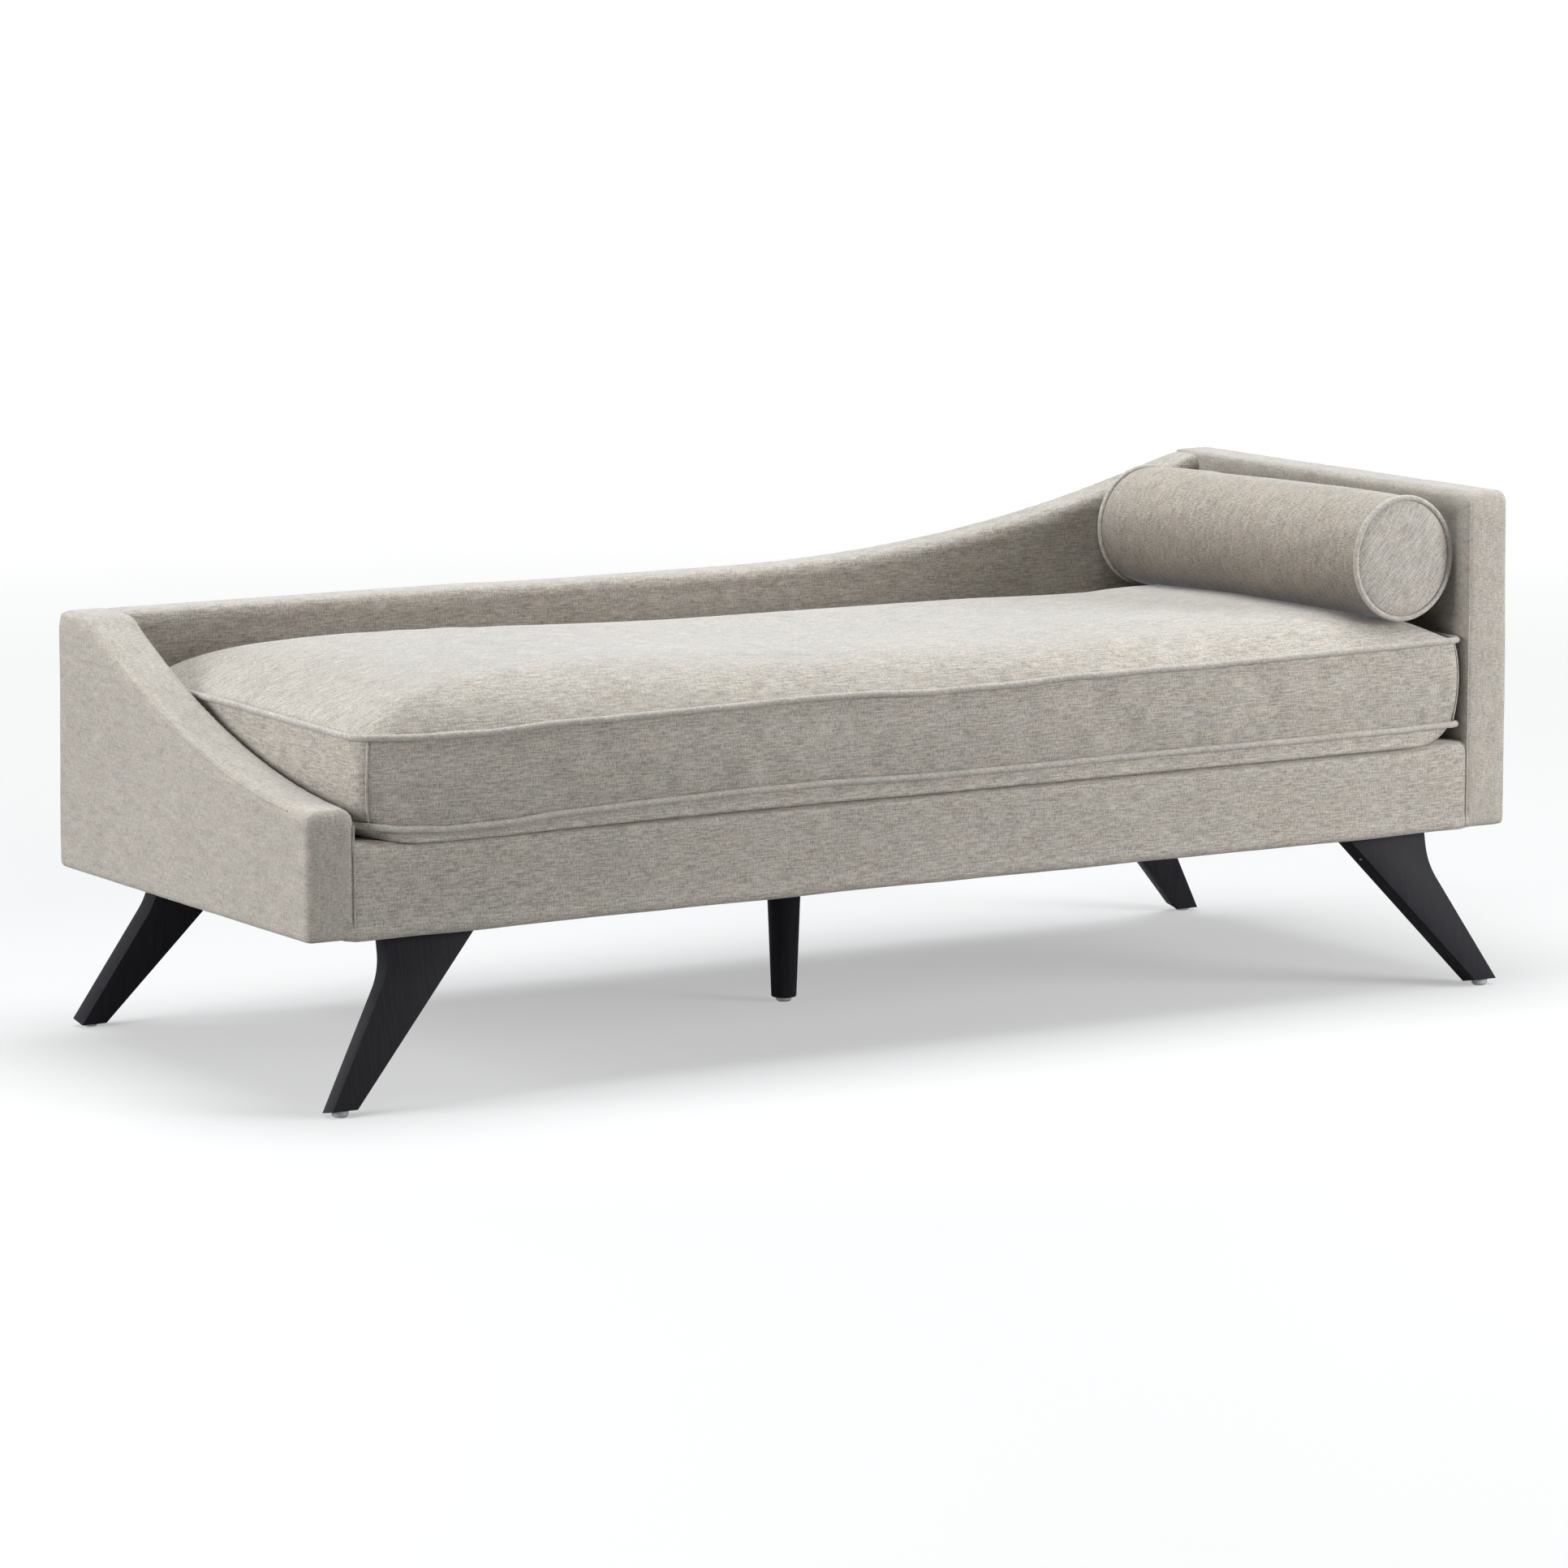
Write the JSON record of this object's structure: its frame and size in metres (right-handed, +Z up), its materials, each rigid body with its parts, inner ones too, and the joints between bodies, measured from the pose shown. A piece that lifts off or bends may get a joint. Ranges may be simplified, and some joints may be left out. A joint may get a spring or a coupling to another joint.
{
  "type": "chaise longue",
  "caption": "Upholstered daybed-style chaise longue with an S-curved low back, swept foot end, boxed seat cushion, round bolster and splayed dark legs.",
  "frame": {"origin": "on the floor under the middle of the part's bounding box", "axes": "+X along the length towards the high head end, +Y from the open front towards the back, +Z up"},
  "size_m": [2, 0.8064, 0.737],
  "materials": {
    "upholstery": "heathered greige chenille weave, matte",
    "welt_fabric": "greige weave cut on the bias, matte",
    "frame_timber": "sawn softwood, bare",
    "hardboard": "hardboard, bare",
    "leg_timber": "dark espresso stain, satin",
    "foam": "cut polyurethane foam, matte",
    "fibre": "polyester wadding, matte",
    "webbing": "woven elastic webbing, matte",
    "lining": "black woven lining, matte",
    "zip_nylon": "nylon coil and woven tape",
    "zinc_steel": "zinc plated",
    "insert_brass": "turned brass",
    "glide_plastic": "translucent nylon"
  },
  "bodies": {
    "frame": {"foot_end_bottom_rail": "frame_timber", "foot_end_top_rail": "frame_timber", "foot_end_posts": "frame_timber", "foot_end_skins": "hardboard", "foot_end_foam": "foam", "foot_end_cover": "upholstery", "head_end_bottom_rail": "frame_timber", "head_end_top_rail": "frame_timber", "head_end_posts": "frame_timber", "head_end_skins": "hardboard", "head_end_foam": "foam", "head_end_cover": "upholstery", "back_bottom_rail": "frame_timber", "back_top_rail": "frame_timber", "back_posts": "frame_timber", "back_skins": "hardboard", "back_foam": "foam", "back_cover": "upholstery", "front_rail_board": "frame_timber", "rear_seat_rail": "frame_timber", "end_seat_rails": "frame_timber", "cross_members": "frame_timber", "leg_blocks": "frame_timber", "centre_leg_block": "frame_timber", "frame_screws": "zinc_steel", "front_rail_foam": "foam", "front_rail_cover": "upholstery", "cross_webbing": "webbing", "long_webbing": "webbing", "deck_pad": "foam", "deck_cloth": "lining", "dust_cover": "lining", "foot_front_leg": "leg_timber", "foot_rear_leg": "leg_timber", "head_front_leg": "leg_timber", "head_rear_leg": "leg_timber", "centre_leg": "leg_timber", "leg_glides": "glide_plastic", "leg_bolts": "zinc_steel", "leg_inserts": "insert_brass"},
    "seat_cushion": {"seat_cushion_cover": "upholstery", "seat_cushion_fibre": "fibre", "seat_cushion_core": "foam", "seat_cushion_top_welt": "welt_fabric", "seat_cushion_bottom_welt": "welt_fabric", "seat_cushion_zip": "zip_nylon"},
    "bolster": {"bolster_cover": "upholstery", "bolster_core": "fibre", "bolster_front_welt": "welt_fabric", "bolster_rear_welt": "welt_fabric", "bolster_zip": "zip_nylon"}
  },
  "joints": [
    {"name": "seat_cushion_lift", "type": "slide", "parent": "frame", "child": "seat_cushion", "axis": [0, 0, 1], "range_m": [0, 0.4]},
    {"name": "bolster_lift", "type": "slide", "parent": "seat_cushion", "child": "bolster", "axis": [0, 0, 1], "range_m": [0, 0.2]}
  ]
}
